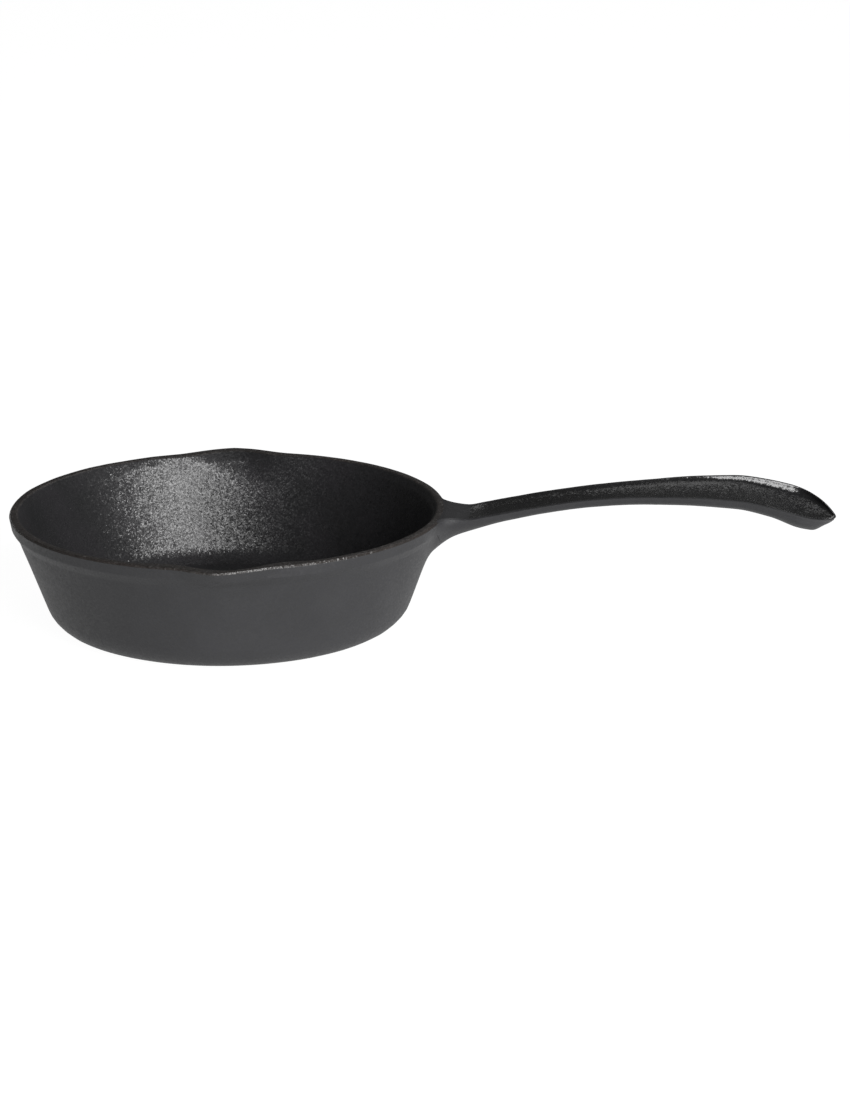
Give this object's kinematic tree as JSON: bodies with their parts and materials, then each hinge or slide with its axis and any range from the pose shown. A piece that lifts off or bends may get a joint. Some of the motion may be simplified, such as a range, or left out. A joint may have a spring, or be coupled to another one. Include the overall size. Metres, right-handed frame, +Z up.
{
  "type": "cast iron skillet",
  "caption": "Small deep cast iron frying pan with slanted walls, a thick lip with a pour spout on each side, and a long arched trough-shaped handle with a scooped, pointed end.",
  "frame": {"origin": "centre of the flat base, on the surface that the skillet stands on", "axes": "+X along the handle, +Y to the right-hand spout as held by the handle, +Z up out of the pan"},
  "size_m": [0.312, 0.1765, 0.0539],
  "materials": {
    "seasoned_iron": "sand-cast, pre-seasoned, dark charcoal grey, fine pebbled grain"
  },
  "bodies": {
    "root": {"pan_base": "seasoned_iron", "pan_wall": "seasoned_iron", "pouring_rim": "seasoned_iron", "handle": "seasoned_iron"}
  },
  "joints": []
}
